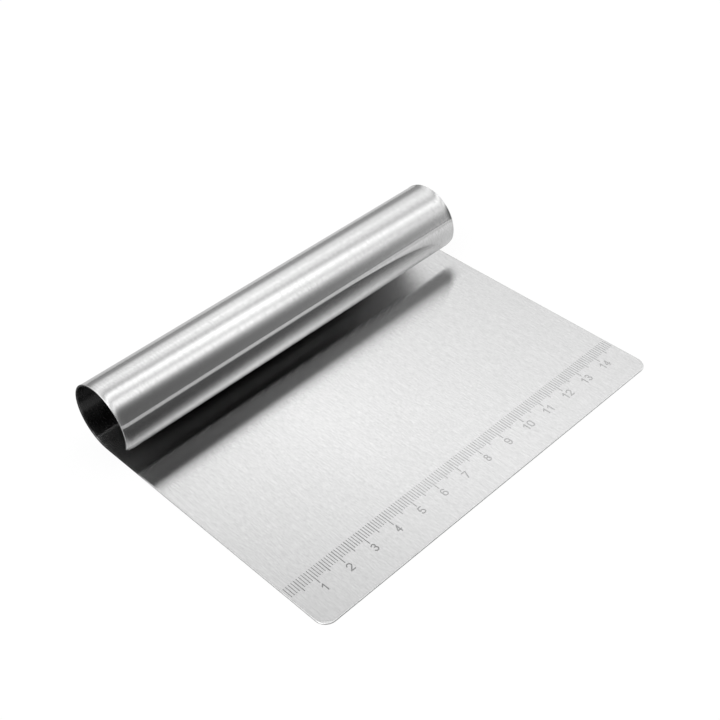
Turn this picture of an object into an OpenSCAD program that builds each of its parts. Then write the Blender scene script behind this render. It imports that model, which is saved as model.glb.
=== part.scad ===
// Dough scraper, bent from one sheet of brushed stainless steel: flat at the front,
// where it cuts, and rolled at the back into an open round handle. A centimetre
// scale is marked on the face behind the cutting edge.
// X runs along the cutting edge, +Y from that edge to the handle, +Z up. The origin
// is under the middle of the whole part, and the blade's underside lies on Z = 0.

/* [Blade] */
// Length of the cutting edge
blade_w = 150; // [120:1:200]
// Distance from the cutting edge to the back of the handle
depth = 114; // [80:1:140]
// Thickness of the sheet
sheet_t = 0.6; // [0.4:0.1:1.2]
// Radius of the corner at each end of the cutting edge
blade_corner_r = 4; // [1:0.5:8]

/* [Rolled handle] */
// Outer radius of the roll
roll_r = 13; // [9:0.5:16]
// Angle that the sheet is rolled through, from the blade round to the lip
roll_sweep = 300; // [200:5:310]
// Radius of the corner at each end of the lip
lip_corner_r = 3; // [1:0.5:5]

/* [Scale marks] */
// Distance from the cutting edge to the line that the marks start on
scale_back = 18.6; // [16:0.2:24]
// Distance from one mark to the next
mark_pitch = 1; // [0.8:0.1:2]
// Space kept free of marks at the blade's right edge
mark_clear = 0.5; // [0.3:0.1:3]
// Width of a millimetre mark
fine_mark_w = 0.22; // [0.1:0.02:0.4]
// Length of a millimetre mark
fine_mark_l = 4; // [2:0.5:4.5]
// Width of a half centimetre mark
half_mark_w = 0.28; // [0.1:0.02:0.5]
// Length of a half centimetre mark
half_mark_l = 5; // [3:0.5:5.5]
// Width of a centimetre mark
long_mark_w = 0.28; // [0.1:0.02:0.5]
// Length of a centimetre mark
long_mark_l = 6; // [4:0.5:8]
// Thickness of the dark layer of the marks and the numerals
mark_t = 0.03; // [0.02:0.01:0.1]

/* [Scale numerals] */
// Height of a numeral
digit_h = 3; // [2:0.1:4]
// Width of a wide numeral, such as 0 or 8
digit_w = 1.9; // [1.4:0.1:2.4]
// Distance between the middles of two numerals side by side
digit_pitch = 2.1; // [2:0.1:3]
// Width of a numeral's stroke
stroke_w = 0.38; // [0.2:0.02:0.44]
// Space between a centimetre mark and its number
digit_gap = 0.6; // [0.3:0.1:2]

/* [Hidden] */
$fn = 96;

// How far a cut runs past the surface that it cuts
overrun = 1;

// The part's front and left edges, and the line under the roll's axis
front_y = -depth / 2;
left_x = -blade_w / 2;
roll_y = depth / 2 - roll_r;

// Place of a corner arc's centre, as a share of its radius in from both edges
corner_centre_share = 0.99;

// The marks count from the blade's left edge, and every tenth has a number
long_mark_count = 10;
half_mark_count = long_mark_count / 2;
last_mark = floor((blade_w - mark_clear) / mark_pitch);
scale_y = front_y + scale_back;

// Box of a numeral's centre lines, and the radii of the bowls of 3, 5 and 8,
// which meet at the waist
line_w = digit_w - stroke_w;
line_h = digit_h - stroke_w;
lower_bowl_share = 0.54;
lower_bowl_r = line_h * lower_bowl_share / 2;
upper_bowl_r = line_h / 2 - lower_bowl_r;
end_bow_r = line_w / 2;

// Places along a numeral's width and height, as shares of its centre lines' box
one_stem_share = 0.6;
one_flag_shares = [0.08, 0.72];
two_turn = -42;
four_stem_share = 0.68;
four_bar_share = 0.3;
five_top_shares = [0.16, 0.9];
five_join_share = 0.5;
seven_foot_share = 0.3;

// What a rounded corner at the origin cuts away from a sheet that lies from Z = 0 to t.
// The arc's centre is a little nearer to both edges than its radius, so that the arc
// crosses the edges and doesn't only touch them
module corner_waste(r, t) {
    centre = r * corner_centre_share;
    translate([0, 0, -overrun]) linear_extrude(t + 2 * overrun) difference() {
        translate([-overrun, -overrun]) square(centre + overrun);
        translate([centre, centre]) circle(r);
    }
}

module flat_blade() {
    translate([left_x, front_y, 0]) cube([blade_w, roll_y - front_y, sheet_t]);
}

// The roll starts under its axis, where the blade ends, and turns back, up and forwards
module roll() {
    translate([left_x, roll_y, roll_r]) rotate([0, 90, 0])
        rotate_extrude(angle = roll_sweep)
            translate([roll_r - sheet_t, 0]) square([sheet_t, blade_w]);
}

// The waste at the lip stands square to the sheet there, and reaches inwards as far
// as the sheet curves away behind the corner
module lip_corner_waste() {
    translate([0, roll_y, roll_r]) rotate([roll_sweep, 0, 0]) translate([left_x, 0, -roll_r])
        mirror([0, 1, 0]) corner_waste(lip_corner_r, sheet_t + lip_corner_r);
}

module scraper_sheet() {
    color("silver") difference() {
        union() {
            flat_blade();
            roll();
        }
        for (side = [0, 1]) mirror([side, 0, 0]) {
            translate([left_x, front_y, 0]) corner_waste(blade_corner_r, sheet_t);
            lip_corner_waste();
        }
    }
}

// A row of marks on the blade's face, at the given counts of pitches from its left edge
module marks(counts, w, l) {
    for (i = counts) translate([left_x + i * mark_pitch - w / 2, scale_y - l, sheet_t])
        cube([w, l, mark_t]);
}

module centimetre_marks() {
    color("dimgray") marks([for (i = [1 : last_mark]) if (i % long_mark_count == 0) i],
                           long_mark_w, long_mark_l);
}

module half_centimetre_marks() {
    color("dimgray") marks([for (i = [1 : last_mark]) if (i % long_mark_count == half_mark_count) i],
                           half_mark_w, half_mark_l);
}

module millimetre_marks() {
    color("dimgray") marks([for (i = [1 : last_mark]) if (i % half_mark_count != 0) i],
                           fine_mark_w, fine_mark_l);
}

// The round end of a stroke
module stroke_end(p) {
    translate(p) circle(stroke_w / 2);
}

// A straight stroke about the line from a to b, with round ends
module stroke(a, b) {
    run = b - a;
    translate(a) rotate(atan2(run[1], run[0])) translate([0, -stroke_w / 2])
        square([norm(run), stroke_w]);
    stroke_end(a);
    stroke_end(b);
}

// A stroke about the whole circle of radius r round c
module ring(c, r) {
    translate(c) difference() {
        circle(r + stroke_w / 2);
        circle(r - stroke_w / 2);
    }
}

// The point at an angle on the circle of radius r round c
function on_ring(c, r, angle) = c + r * [cos(angle), sin(angle)];

// A stroke about an arc of that circle, between two angles, with round ends. The fan
// that cuts it out of the ring reaches far enough for its chords to clear the ring
module bow(c, r, from, to) {
    fan_steps = 6;
    fan_r = 2 * (r + stroke_w);
    intersection() {
        ring(c, r);
        polygon([c, for (i = [0 : fan_steps])
            on_ring(c, fan_r, from + (to - from) * i / fan_steps)]);
    }
    stroke_end(on_ring(c, r, from));
    stroke_end(on_ring(c, r, to));
}

// One numeral from 0 to 9, with its centre lines' box from [0, 0] to [line_w, line_h]
module digit(n) {
    low = [end_bow_r, end_bow_r];
    high = [end_bow_r, line_h - end_bow_r];
    lower = [end_bow_r, lower_bowl_r];
    upper = [end_bow_r, line_h - upper_bowl_r];
    if (n == 0) {
        bow(high, end_bow_r, 0, 180);
        bow(low, end_bow_r, 180, 360);
        stroke([0, low[1]], [0, high[1]]);
        stroke([line_w, low[1]], [line_w, high[1]]);
    }
    if (n == 1) {
        top = [line_w * one_stem_share, line_h];
        stroke([top[0], 0], top);
        stroke([line_w * one_flag_shares[0], line_h * one_flag_shares[1]], top);
    }
    if (n == 2) {
        bow(high, end_bow_r, two_turn, 170);
        stroke(on_ring(high, end_bow_r, two_turn), [0, 0]);
        stroke([0, 0], [line_w, 0]);
    }
    if (n == 3) {
        bow(upper, upper_bowl_r, -100, 160);
        bow(lower, lower_bowl_r, -160, 100);
    }
    if (n == 4) {
        stem_x = line_w * four_stem_share;
        bar_y = line_h * four_bar_share;
        stroke([stem_x, 0], [stem_x, line_h]);
        stroke([0, bar_y], [line_w, bar_y]);
        stroke([0, bar_y], [stem_x, line_h]);
    }
    if (n == 5) {
        corner = [line_w * five_top_shares[0], line_h];
        stroke(corner, [line_w * five_top_shares[1], line_h]);
        stroke(corner, [0, line_h * five_join_share]);
        bow(lower, lower_bowl_r, -155, 140);
    }
    if (n == 6) six();
    if (n == 7) {
        stroke([0, line_h], [line_w, line_h]);
        stroke([line_w * seven_foot_share, 0], [line_w, line_h]);
    }
    if (n == 8) {
        ring(upper, upper_bowl_r);
        ring(lower, lower_bowl_r);
    }
    if (n == 9) translate([line_w, line_h]) rotate(180) six();
}

module six() {
    low = [end_bow_r, end_bow_r];
    high = [end_bow_r, line_h - end_bow_r];
    ring(low, end_bow_r);
    stroke([0, low[1]], [0, high[1]]);
    bow(high, end_bow_r, 25, 180);
}

// A number below its mark, with its digits side by side about the mark
module number(n) {
    digits = n < 10 ? [n] : [floor(n / 10), n % 10];
    for (k = [0 : len(digits) - 1])
        translate([(k - (len(digits) - 1) / 2) * digit_pitch - line_w / 2,
                   stroke_w / 2 - digit_h])
            digit(digits[k]);
}

module scale_numerals() {
    top_y = scale_y - long_mark_l - digit_gap;
    color("dimgray") for (n = [1 : floor(last_mark / long_mark_count)])
        translate([left_x + n * long_mark_count * mark_pitch, top_y, sheet_t])
            linear_extrude(mark_t) number(n);
}

scraper_sheet();
centimetre_marks();
half_centimetre_marks();
millimetre_marks();
scale_numerals();
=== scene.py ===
import math

import bpy
import numpy as np
from mathutils import Matrix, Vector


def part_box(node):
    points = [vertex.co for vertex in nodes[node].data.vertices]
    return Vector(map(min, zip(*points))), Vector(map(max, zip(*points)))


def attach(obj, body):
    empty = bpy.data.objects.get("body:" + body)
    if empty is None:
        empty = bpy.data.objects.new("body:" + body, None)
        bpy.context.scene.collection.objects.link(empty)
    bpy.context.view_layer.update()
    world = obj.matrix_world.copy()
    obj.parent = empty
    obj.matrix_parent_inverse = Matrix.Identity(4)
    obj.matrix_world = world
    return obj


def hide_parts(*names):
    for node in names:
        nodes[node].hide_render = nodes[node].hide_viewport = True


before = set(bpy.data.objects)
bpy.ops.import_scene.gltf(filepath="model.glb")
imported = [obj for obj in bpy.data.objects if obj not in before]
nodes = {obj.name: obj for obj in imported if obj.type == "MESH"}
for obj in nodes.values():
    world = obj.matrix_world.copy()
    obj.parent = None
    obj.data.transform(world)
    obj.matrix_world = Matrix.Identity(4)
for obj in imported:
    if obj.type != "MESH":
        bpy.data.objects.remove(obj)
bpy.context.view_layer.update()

# The scraper's sheet
# One piece of 0.6 mm stainless steel, cut with rounded corners and brushed from the
# cutting edge towards the back. Its back is then rolled round a bar, as far as a short
# straight lip, and the cut edges are tumbled until they are smooth to the hand.

sheet_low, sheet_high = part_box("scraper_sheet")
half_width = (sheet_high.x - sheet_low.x) / 2
front_y = sheet_low.y
sheet_thick = 0.0006
blade_corner = 0.004
lip_corner = 0.003

# The roll's ends open a little, more and more from where it leaves the table
flare_depth = 0.00013
flare_reach = 0.0026
flare_start = 0.012
roll_radius = (sheet_high.z - sheet_low.z) / 2 - flare_depth
roll_y = sheet_high.y - roll_radius - flare_depth
roll_angle = math.radians(300)
lip_straight = 0.0023
flat_run = roll_y - front_y
sheet_run = flat_run + roll_radius * roll_angle
curl_run = roll_radius * roll_angle - lip_straight

# The cut edge's rounding, and how far and how deep the punch drew the face down to it,
# with what a corner adds to each
edge_round = 0.0002
drawn_reach = 0.00025
drawn_depth = 0.00002
corner_drawn_reach = 0.0007
corner_drawn_depth = 0.00011

# Lengths past the flat blade at which the belt's finish ends and painted shade begins inside
# the roll, and from which the roll's outer rim is painted bright as a highlight. The edge's
# painted shade begins this length before the roll, and each change is spread over the fade
unbrushed_shade_start = 0.006
rim_highlight_start = 0.036
edge_shade_lead = 0.022
edge_fade = 0.008

# The mesh's steps. The edge columns are in millimetres from the sheet's side
corner_steps = 13
flat_steps = 24
rolled_steps = 200
rounding_steps = 7
edge_columns = [0, 0.04, 0.1, 0.2, 0.32, 0.46, 0.62, 0.8, 1, 1.3, 1.7, 2.2, 2.9, 4, 7, 12]
middle_columns = 9
middle_share = 0.75

# Each finish's place in the sheet's list of materials
BRUSHED, CUT, MILL_AND_SHADE, TUMBLED = range(4)


def outline_rows():
    """Places along the sheet and the half width there: a quarter circle widens it from
    the cutting edge, it stays at its full width, and a quarter circle narrows it to
    the lip. Everything is set in by the edge's rounding."""
    turn = np.linspace(0, math.pi / 2, corner_steps)
    back_turn = turn[::-1]
    front_r, back_r = blade_corner - edge_round, lip_corner - edge_round
    front_along = blade_corner - front_r * np.cos(turn)
    front_width = half_width - blade_corner + front_r * np.sin(turn)
    front_out = np.stack([np.sin(turn), -np.cos(turn)], 1)
    back_along = sheet_run - lip_corner + back_r * np.cos(back_turn)
    back_width = half_width - lip_corner + back_r * np.sin(back_turn)
    back_out = np.stack([np.sin(back_turn), np.cos(back_turn)], 1)
    flat = np.linspace(blade_corner, flat_run, flat_steps)[1:]
    rolled = np.linspace(flat_run, sheet_run - lip_corner, rolled_steps)[1:-1]
    middle = np.concatenate([flat, rolled])
    middle_width = np.full(len(middle), half_width - edge_round)
    middle_out = np.tile([1.0, 0.0], (len(middle), 1))
    return (np.concatenate([front_along, middle, back_along]),
            np.concatenate([front_width, middle_width, back_width]),
            np.concatenate([front_out, middle_out, back_out]))


def bend(across, along, height):
    """Bends the flat sheet: up to flat_run a point stays over its place, and past it the
    length along the sheet turns into an angle round the roll's axis, with the height
    above the underside counted in from the roll's outer radius. The last lip_straight,
    which the roller can't grip, goes straight on."""
    past = np.maximum(along - flat_run, 0)
    end = np.clip((np.abs(across) - (half_width - flare_reach)) / flare_reach, 0, 1)
    begin = np.clip(past / flare_start, 0, 1)
    inset = height - flare_depth * end**3 * begin**2 * (3 - 2 * begin)
    angle = np.minimum(past, curl_run) / roll_radius
    beyond = np.maximum(past - curl_run, 0)
    radius = roll_radius - inset
    y = roll_y + radius * np.sin(angle) + beyond * np.cos(angle)
    z = roll_radius - radius * np.cos(angle) + beyond * np.sin(angle)
    return np.stack([across, np.where(past > 0, y, front_y + along),
                     np.where(past > 0, z, inset)], -1)


def drawn_down(across, along):
    """How far the face sinks towards its cut edge, as a punch leaves it: a parabola over
    the last fraction of a millimetre, wider and deeper round the blade's corners."""
    over = np.stack([np.abs(across) - (half_width - blade_corner), blade_corner - along])
    to_arc = blade_corner - np.hypot(over[0], over[1])
    to_side = np.minimum(half_width - np.abs(across), along)
    distance = np.where(over.min(0) > 0, to_arc, to_side)
    share = np.clip(over / blade_corner, 0, 1)
    corner = np.clip(2 * share.min(0) / np.maximum(np.hypot(share[0], share[1]), 1e-9), 0, 1)
    reach = drawn_reach + corner_drawn_reach * corner
    depth = drawn_depth + corner_drawn_depth * corner
    return depth * np.clip(1 - (distance - edge_round) / reach, 0, 1) ** 2


def sheet_mesh():
    """A grid over the flat sheet gives its face and its underside, and between their
    rims the edge is carried round: a quarter turn down, straight, a quarter turn in."""
    along, width, out = outline_rows()
    near_edge = 1 - np.array(edge_columns) / (1000 * half_width)
    middle = np.linspace(-middle_share, middle_share, middle_columns)
    share = np.concatenate([-near_edge, middle, near_edge[::-1]])
    across = width[:, None] * share[None, :]
    rows, columns = across.shape
    place = np.broadcast_to(along[:, None], across.shape)
    count = rows * columns
    index = np.arange(count).reshape(rows, columns)

    rim = np.concatenate([index[0], index[1:, -1], index[-1, -2::-1], index[-2:0:-1, 0]])
    rim_out = np.concatenate([np.tile([0.0, -1.0], (columns, 1)), out[1:],
                              np.tile([0.0, 1.0], (columns - 1, 1)), out[-2:0:-1] * [-1, 1]])
    rim_across, rim_along = across.ravel()[rim], place.ravel()[rim]
    sink = drawn_down(across, place)
    turn = np.linspace(0, math.pi / 2, rounding_steps)[1:]
    reach = edge_round * np.concatenate([np.sin(turn), np.cos(turn[:-1])])
    down = edge_round * (1 - np.cos(turn))
    up = edge_round * (1 - np.sin(turn[:-1]))
    strip_across = rim_across + reach[:, None] * rim_out[:, 0]
    strip_along = rim_along + reach[:, None] * rim_out[:, 1]
    upper_height = sheet_thick - sink.ravel()[rim] - down[:, None]
    lower_height = np.broadcast_to(up[:, None], (len(up), len(rim)))

    flat_across = np.concatenate([across.ravel(), across.ravel(), strip_across.ravel()])
    flat_along = np.concatenate([place.ravel(), place.ravel(), strip_along.ravel()])
    flat_height = np.concatenate([(sheet_thick - sink).ravel(), np.zeros(count),
                                  upper_height.ravel(), lower_height.ravel()])
    points = bend(flat_across, flat_along, flat_height)

    quads = np.stack([index[:-1, :-1], index[:-1, 1:], index[1:, 1:], index[1:, :-1]], -1)
    quads = quads.reshape(-1, 4)
    strip_index = 2 * count + np.arange(strip_across.size).reshape(strip_across.shape)
    rings = np.concatenate([rim[None, :], strip_index, count + rim[None, :]])
    following = np.roll(rings, -1, axis=1)
    strip = np.stack([rings[:-1], rings[1:], following[1:], following[:-1]], -1).reshape(-1, 4)
    faces = np.concatenate([quads, quads[:, ::-1] + count, strip])
    mesh = bpy.data.meshes.new("brushed_sheet")
    mesh.from_pydata(points.tolist(), [], faces.tolist())
    mesh.polygons.foreach_set("use_smooth", np.ones(len(faces), bool))

    corner = np.empty(len(mesh.loops), np.int32)
    mesh.loops.foreach_get("vertex_index", corner)
    flat_place = np.stack([flat_across, flat_along], 1)[corner].astype(np.float32)
    mesh.uv_layers.new(name="grain").data.foreach_set("uv", flat_place.ravel())

    # Inside the roll past the belt's reach: the mill finish, kept dark as painted shade
    inside = place[:-1, :-1].ravel() >= flat_run + unbrushed_shade_start
    ring = np.repeat(np.arange(len(rings) - 1), len(rim))
    ring_along = np.tile(rim_along, len(rings) - 1)
    # The rounding takes the tumbled finish along the blade and, as a painted highlight, on the
    # roll's outer rim
    blade_rim = (ring_along < flat_run) & (ring < len(turn))
    roll_rim = (ring_along > flat_run + rim_highlight_start - edge_fade) & (ring > len(turn) + 1)
    finish = np.concatenate([np.where(inside, MILL_AND_SHADE, BRUSHED), np.full(len(quads), BRUSHED),
                             np.where(blade_rim | roll_rim, TUMBLED, CUT)])
    mesh.polygons.foreach_set("material_index", finish.astype(np.int32))
    mesh.update()
    return mesh


def node(tree, kind, links=None, **settings):
    """A node with its settings made and its inputs linked or set."""
    made = tree.nodes.new(kind)
    for key, value in settings.items():
        setattr(made, key, value)
    for key, value in (links or {}).items():
        if isinstance(value, bpy.types.NodeSocket):
            tree.links.new(value, made.inputs[key])
        else:
            made.inputs[key].default_value = value
    return made


def math_node(tree, operation, a, b=None):
    """The result of a math node with one or two inputs."""
    links = {0: a} if b is None else {0: a, 1: b}
    return node(tree, "ShaderNodeMath", links, operation=operation).outputs[0]


def remap(tree, value, low, high, to_low, to_high):
    """The value moved from one range to another, held at its ends."""
    return node(tree, "ShaderNodeMapRange", {"Value": value, "From Min": low, "From Max": high,
                                             "To Min": to_low, "To Max": to_high}).outputs[0]


def between(tree, value, low, high):
    """A grey between two levels by the value."""
    return node(tree, "ShaderNodeMix", {0: value, 6: (low, low, low, 1), 7: (high, high, high, 1)},
                data_type="RGBA").outputs[2]


def scaled(tree, colour, share):
    """A colour made brighter or darker."""
    return node(tree, "ShaderNodeVectorMath", {0: colour, "Scale": share},
                operation="SCALE").outputs[0]


def split(tree, place):
    """The parts of a place along its axes."""
    return node(tree, "ShaderNodeSeparateXYZ", {0: place}).outputs


def noise(tree, place, scale, detail):
    """Plain noise at a place."""
    return node(tree, "ShaderNodeTexNoise",
                {"Vector": place, "Scale": scale, "Detail": detail}).outputs["Fac"]


def material(name, metallic):
    """An empty material, its nodes and its shader."""
    made = bpy.data.materials.new(name)
    made.use_nodes = True
    tree = made.node_tree
    tree.nodes.clear()
    shader = node(tree, "ShaderNodeBsdfPrincipled")
    shader.inputs["Metallic"].default_value = metallic
    node(tree, "ShaderNodeOutputMaterial", {"Surface": shader.outputs[0]})
    return made, tree, shader


def flat_sheet_place(tree):
    """The place on the sheet as it lay flat, across it and along it."""
    return node(tree, "ShaderNodeUVMap", uv_map="grain").outputs[0]


def brush_grain_group():
    """Brush marks on sheet steel: noise drawn out along the grain at three widths, as the
    belt leaves them, and a cloud that varies how strongly they show."""
    tree = bpy.data.node_groups.new("brush_grain", "ShaderNodeTree")
    tree.interface.new_socket("Grain", in_out="INPUT", socket_type="NodeSocketVector")
    for label in ("Streaks", "Cloud"):
        tree.interface.new_socket(label, in_out="OUTPUT", socket_type="NodeSocketFloat")
    grain = tree.nodes.new("NodeGroupInput").outputs[0]
    out = tree.nodes.new("NodeGroupOutput")
    total = None
    for width, length, share, seed in ((0.0006, 0.012, 0.2, 3.1), (0.0003, 0.0026, 0.4, 17.7),
                                       (0.0002, 0.001, 0.4, 41.3)):
        drawn_out = node(tree, "ShaderNodeMapping", {"Vector": grain, "Location": (seed, seed, 0),
                                                     "Scale": (1 / width, 1 / length, 1)})
        streak = node(tree, "ShaderNodeTexNoise", {"Vector": drawn_out.outputs[0], "Scale": 1.0,
                                                   "Detail": 2.0, "Roughness": 0.5},
                      noise_dimensions="2D").outputs["Fac"]
        part = math_node(tree, "MULTIPLY", streak, share)
        total = part if total is None else math_node(tree, "ADD", total, part)
    cloud = node(tree, "ShaderNodeTexNoise", {"Vector": grain, "Scale": 160.0, "Detail": 3.0},
                 noise_dimensions="2D").outputs["Fac"]
    tree.links.new(total, out.inputs["Streaks"])
    tree.links.new(cloud, out.inputs["Cloud"])
    return tree


brush_grain = brush_grain_group()
streak_range = (0.36, 0.64)
noise_range = (0.35, 0.65)

# The face, its colour painted lighter near the middle of its width and, on the left,
# darker at the cutting edge than at the back, as painted sheen. The rolling presses the roll's
# outside smoother
brushed_steel, tree, shader = material("brushed_steel", 1)
flat_place = flat_sheet_place(tree)
across, along = split(tree, flat_place)[:2]
streaks = node(tree, "ShaderNodeGroup", node_tree=brush_grain)
tree.links.new(flat_place, streaks.inputs[0])
streaks = streaks.outputs["Streaks"]
# Painted sheen: the colour is scaled lighter or darker across and along the face, in place of the
# reflection's brightness
painted_sheen = math_node(tree, "MINIMUM", remap(tree, across, -0.072, -0.02, 0.9, 1.04),
                 remap(tree, across, 0.01, 0.075, 1.04, 0.96))
painted_sheen_along = node(tree, "ShaderNodeMix", {0: remap(tree, across, -0.02, 0.015, 0, 1),
                                      2: remap(tree, along, 0.005, 0.06, 0.95, 1.06), 3: 1.0})
painted_sheen = math_node(tree, "MULTIPLY", painted_sheen, painted_sheen_along.outputs[0])
steel = between(tree, remap(tree, streaks, *streak_range, 0, 1), 0.458, 0.542)
tree.links.new(scaled(tree, steel, painted_sheen), shader.inputs["Base Color"])
pressed_run = 0.006
pressed_share = 0.68
pressed = remap(tree, along, flat_run, flat_run + pressed_run, 1, pressed_share)
roughness = math_node(tree, "MULTIPLY", remap(tree, streaks, *streak_range, 0.2, 0.175), pressed)
tree.links.new(roughness, shader.inputs["Roughness"])
bump = node(tree, "ShaderNodeBump", {"Height": streaks, "Strength": 0.12, "Distance": 0.00002})
tree.links.new(bump.outputs[0], shader.inputs["Normal"])
tangent = node(tree, "ShaderNodeTangent", direction_type="UV_MAP", uv_map="grain")
tree.links.new(tangent.outputs[0], shader.inputs["Tangent"])
shader.inputs["Anisotropic"].default_value = 1

# The cut edge itself, dull, with painted shade from shortly before the roll on, under it and all
# round it
edge_shade_share = 0.2
cut_edge, tree, shader = material("cut_edge", 1)
flat_place = flat_sheet_place(tree)
nicks = noise(tree, flat_place, 900.0, 3.0)
dull = between(tree, remap(tree, nicks, *noise_range, 0, 1), 0.1, 0.16)
edge_shade_start = flat_run - edge_shade_lead
# Painted shade: the edge's colour falls to a fifth from shortly before the roll on
edge_shade = remap(tree, split(tree, flat_place)["Y"], edge_shade_start, edge_shade_start + edge_fade,
                  1, edge_shade_share)
tree.links.new(scaled(tree, dull, edge_shade), shader.inputs["Base Color"])
tree.links.new(remap(tree, nicks, *noise_range, 0.55, 0.4), shader.inputs["Roughness"])

# Its rounding on top of the blade and on the roll's outside, rubbed bright along the
# blade. Towards the roll its colour falls to near black as painted shade, and on the roll's outer
# rim it is bright again as a painted highlight
painted_shade_level = 0.04
tumbled_edge, tree, shader = material("tumbled_edge", 1)
flat_place = flat_sheet_place(tree)
rubbing = noise(tree, flat_place, 400.0, 2.0)
bright = between(tree, remap(tree, rubbing, *noise_range, 0, 1), 0.58, 0.66)
along = split(tree, flat_place)["Y"]
rim_highlight = flat_run + rim_highlight_start
# Painted shade near and under the roll, and a painted highlight on the roll's outer rim
painted_light_share = math_node(tree, "MAXIMUM",
                    remap(tree, along, edge_shade_start, edge_shade_start + edge_fade, 1, painted_shade_level),
                    remap(tree, along, rim_highlight - edge_fade, rim_highlight, painted_shade_level, 1))
tree.links.new(scaled(tree, bright, painted_light_share), shader.inputs["Base Color"])
tree.links.new(remap(tree, rubbing, *noise_range, 0.3, 0.24), shader.inputs["Roughness"])

# The roll's inside, past the belt's reach, as the sheet came from the mill, and dark grey as
# painted shade inside the roll
mill_finish_and_shade, tree, shader = material("mill_finish_and_shade", 1)
grain = node(tree, "ShaderNodeGroup", node_tree=brush_grain)
tree.links.new(flat_sheet_place(tree), grain.inputs[0])
tree.links.new(between(tree, grain.outputs["Cloud"], 0.15, 0.23), shader.inputs["Base Color"])
tree.links.new(remap(tree, grain.outputs["Streaks"], *streak_range, 0.28, 0.2),
               shader.inputs["Roughness"])

scraper_sheet = bpy.data.objects.new("brushed_sheet", sheet_mesh())
bpy.context.scene.collection.objects.link(scraper_sheet)
for finish in (brushed_steel, cut_edge, mill_finish_and_shade, tumbled_edge):
    scraper_sheet.data.materials.append(finish)
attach(scraper_sheet, "root")
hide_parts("scraper_sheet")

# The scale on the blade
# Marks and plain numbers burnt into the steel's face by a laser, which leaves a dull
# dark grey film a few hundredths of a millimetre thick. Its colour is paler past the
# first few centimetres.

scale_dark, tree, shader = material("scale_dark", 0.95)
place = node(tree, "ShaderNodeTexCoord").outputs["Object"]
speckle = noise(tree, place, 2500.0, 2.0)
speckled = remap(tree, speckle, *noise_range, 0, 1)
paler = remap(tree, split(tree, place)["X"], -0.045, -0.015, 0, 1)
film = node(tree, "ShaderNodeMix", {0: paler, 6: between(tree, speckled, 0.16, 0.22),
                                    7: between(tree, speckled, 0.3, 0.36)}, data_type="RGBA")
tree.links.new(film.outputs[2], shader.inputs["Base Color"])
tree.links.new(remap(tree, speckle, *noise_range, 0.3, 0.38), shader.inputs["Roughness"])

for name in ("centimetre_marks", "half_centimetre_marks", "millimetre_marks", "scale_numerals"):
    nodes[name].data.materials.clear()
    nodes[name].data.materials.append(scale_dark)

# The set
# A plain white table, and the soft light of a studio: a bright ceiling, two strips of
# light between it and the grey wall behind, and a dark doorway on the camera's side.

camera_place = (-0.211345, -0.221054, 0.286397)
camera_right = (0.709351, -0.704111, -0.032386)
camera_up = (0.483551, 0.452692, 0.749165)
camera_back = (-0.512834, -0.547082, 0.661591)
focal_length = 63.383
sensor_width = 36

# The table glows plain white, with a faint shadow. In the steel's reflections it is
# bright beside the blade's right end and dim elsewhere
table_radius = 1.5
table_drop = 0.00002
rim_turn = np.linspace(0, 2 * math.pi, 96, endpoint=False)
rim = np.stack([table_radius * np.cos(rim_turn), table_radius * np.sin(rim_turn), 0 * rim_turn], 1)
floor_mesh = bpy.data.meshes.new("table")
floor_mesh.from_pydata(rim.tolist(), [], [list(range(len(rim)))])
floor = bpy.data.objects.new("table", floor_mesh)
floor.location.z = -table_drop
bpy.context.scene.collection.objects.link(floor)
white_table, tree, shader = material("white_table", 0)
shader.inputs["Base Color"].default_value = (0.9, 0.9, 0.9, 1)
shader.inputs["Roughness"].default_value = 0.9
shader.inputs["Specular IOR Level"].default_value = 0.1
dim, lit, behind = 0.8, 1.2, 0.85
x, y = split(tree, node(tree, "ShaderNodeTexCoord").outputs["Object"])[:2]
level = math_node(tree, "MINIMUM", remap(tree, x, 0.06, 0.1, dim, lit),
                  remap(tree, y, 0.03, 0.08, lit, behind))
in_front = math_node(tree, "MAXIMUM", remap(tree, y, -0.08, -0.057, dim, lit),
                     remap(tree, x, 0.1, 0.3, dim, lit))
level = math_node(tree, "MINIMUM", level, in_front)
path = node(tree, "ShaderNodeLightPath").outputs
level = node(tree, "ShaderNodeMix", {0: path["Is Camera Ray"], 2: level, 3: 1.0}).outputs[0]
glow = node(tree, "ShaderNodeEmission", {"Color": (1, 1, 1, 1), "Strength": level})
shadow_share = 0.07
glow_share = math_node(tree, "MULTIPLY", path["Is Camera Ray"], 1 - shadow_share)
glow_share = math_node(tree, "MAXIMUM", glow_share, path["Is Glossy Ray"])
both = node(tree, "ShaderNodeMixShader", {0: glow_share, 1: shader.outputs[0], 2: glow.outputs[0]})
out = next(each for each in tree.nodes if each.type == "OUTPUT_MATERIAL")
tree.links.new(both.outputs[0], out.inputs["Surface"])
floor.data.materials.append(white_table)

world = bpy.data.worlds.new("studio")
bpy.context.scene.world = world
world.use_nodes = True
tree = world.node_tree
tree.nodes.clear()
toward = node(tree, "ShaderNodeTexCoord").outputs["Generated"]


def dot(tree, direction, fixed):
    """The dot product of a direction and a fixed one."""
    return node(tree, "ShaderNodeVectorMath", {0: direction, 1: fixed},
                operation="DOT_PRODUCT").outputs["Value"]


def ramp(tree, value, stops):
    """Grey levels at the given degrees, with straight runs between them."""
    brightest = max(level for degrees, level in stops)
    made = node(tree, "ShaderNodeValToRGB", {0: math_node(tree, "DIVIDE", value, math.pi)})
    points = made.color_ramp.elements
    while len(points) < len(stops):
        points.new(0.5)
    for point, (degrees, level) in zip(points, stops):
        point.position = degrees / 180
        point.color = (level / brightest,) * 3 + (1,)
    return scaled(tree, made.outputs[0], brightest)


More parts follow.
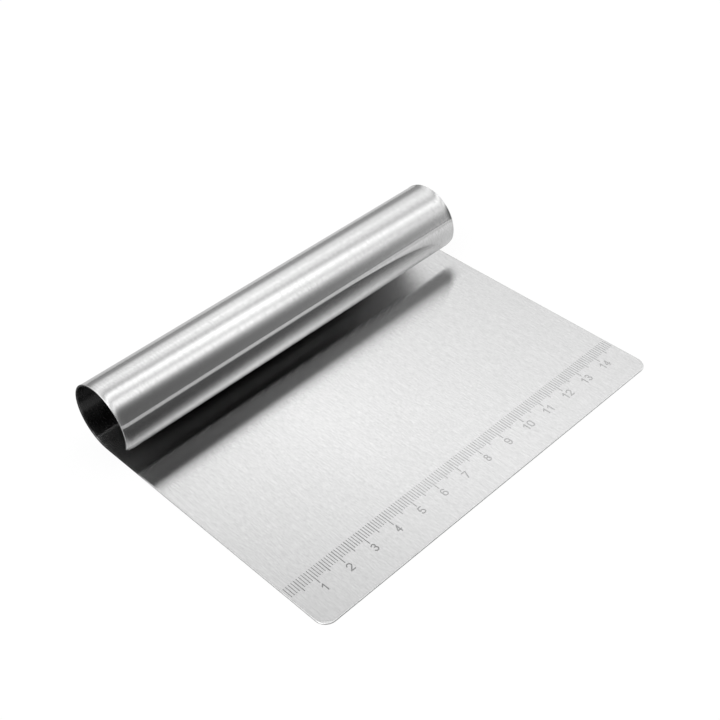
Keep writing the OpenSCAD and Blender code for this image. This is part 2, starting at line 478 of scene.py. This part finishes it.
# Levels by the angle up from straight ahead of the camera, over the top and down behind it
heading = np.array([-camera_back[0], -camera_back[1], 0])
heading /= np.linalg.norm(heading)
tilt = math_node(tree, "ARCTAN2", split(tree, toward)["Z"], dot(tree, toward, tuple(heading)))
band = ramp(tree, tilt, [
    (0, 0.31), (8, 0.55), (16, 0.5), (22, 0.9), (30, 1.38), (38, 1.48), (42, 1.7), (46, 1.95),
    (50, 1.45), (54, 1.6), (60, 0.95), (64, 0.72), (68, 1.35), (71, 2.6), (74, 2.55), (77, 2.1),
    (80, 1.45), (83, 0.9), (86, 0.85), (89, 1.75), (93, 2.35), (97, 2.26), (102, 2.4),
    (110, 2.7), (125, 3.1), (150, 3.5), (180, 4.0)])

# A dark doorway on the camera's side, by the angle off its middle. Light that the steel
# reflects more than once, with a ray depth of 3 and up, sees it further to the left, as
# it would see a doorway close by
doorway = (-0.228, -0.965, 0.134)
off_doorway = math_node(tree, "ARCCOSINE", dot(tree, toward, doorway))
open_share = ramp(tree, off_doorway, [
    (0, 0.05), (30, 0.055), (41, 0.06), (45, 0.068), (48, 0.11), (51, 0.19), (54, 0.35),
    (57, 0.59), (60, 0.8), (64, 0.92), (70, 1), (180, 1)])
near_doorway = (-0.604, -0.793, 0.087)
off_near = math_node(tree, "ARCCOSINE", dot(tree, toward, near_doorway))
later_share = ramp(tree, off_near, [
    (0, 0.07), (58, 0.07), (61, 0.05), (68, 0.042), (71, 0.05), (73, 0.08), (75, 0.165),
    (77, 0.285), (79, 0.44), (81, 0.72), (82.5, 1.02), (84.5, 1.35), (87, 1.45), (90, 1.3),
    (95, 1.18), (180, 1.16)])
once_reflected = 2.5
path = node(tree, "ShaderNodeLightPath").outputs
later = math_node(tree, "GREATER_THAN", path["Ray Depth"], once_reflected)
share = node(tree, "ShaderNodeMix", {0: later, 6: open_share, 7: later_share},
             data_type="RGBA").outputs[2]

# The left side of the room is darker than the right
sideways = (heading[1], -heading[0], 0)
lean = math_node(tree, "ADD", math_node(tree, "ARCSINE", dot(tree, toward, sideways)), math.pi / 2)
left_share = ramp(tree, lean, [(0, 0.35), (45, 0.55), (62, 0.9), (72, 1), (180, 1)])
mixed = node(tree, "ShaderNodeVectorMath", {0: band, 1: share}, operation="MULTIPLY").outputs[0]
mixed = node(tree, "ShaderNodeVectorMath", {0: mixed, 1: left_share},
             operation="MULTIPLY").outputs[0]
shown = node(tree, "ShaderNodeMix", {0: path["Is Camera Ray"], 6: mixed, 7: (1, 1, 1, 1)},
             data_type="RGBA").outputs[2]
light = node(tree, "ShaderNodeBackground", {"Color": shown, "Strength": 1.0})
node(tree, "ShaderNodeOutputWorld", {"Surface": light.outputs[0]})

lens = bpy.data.cameras.new("camera")
lens.sensor_width = sensor_width
lens.lens = focal_length
camera = bpy.data.objects.new("camera", lens)
camera.matrix_world = Matrix([[camera_right[i], camera_up[i], camera_back[i], camera_place[i]]
                              for i in range(3)] + [[0, 0, 0, 1]])
bpy.context.scene.collection.objects.link(camera)
bpy.context.scene.camera = camera
bpy.context.scene.view_settings.view_transform = "Standard"
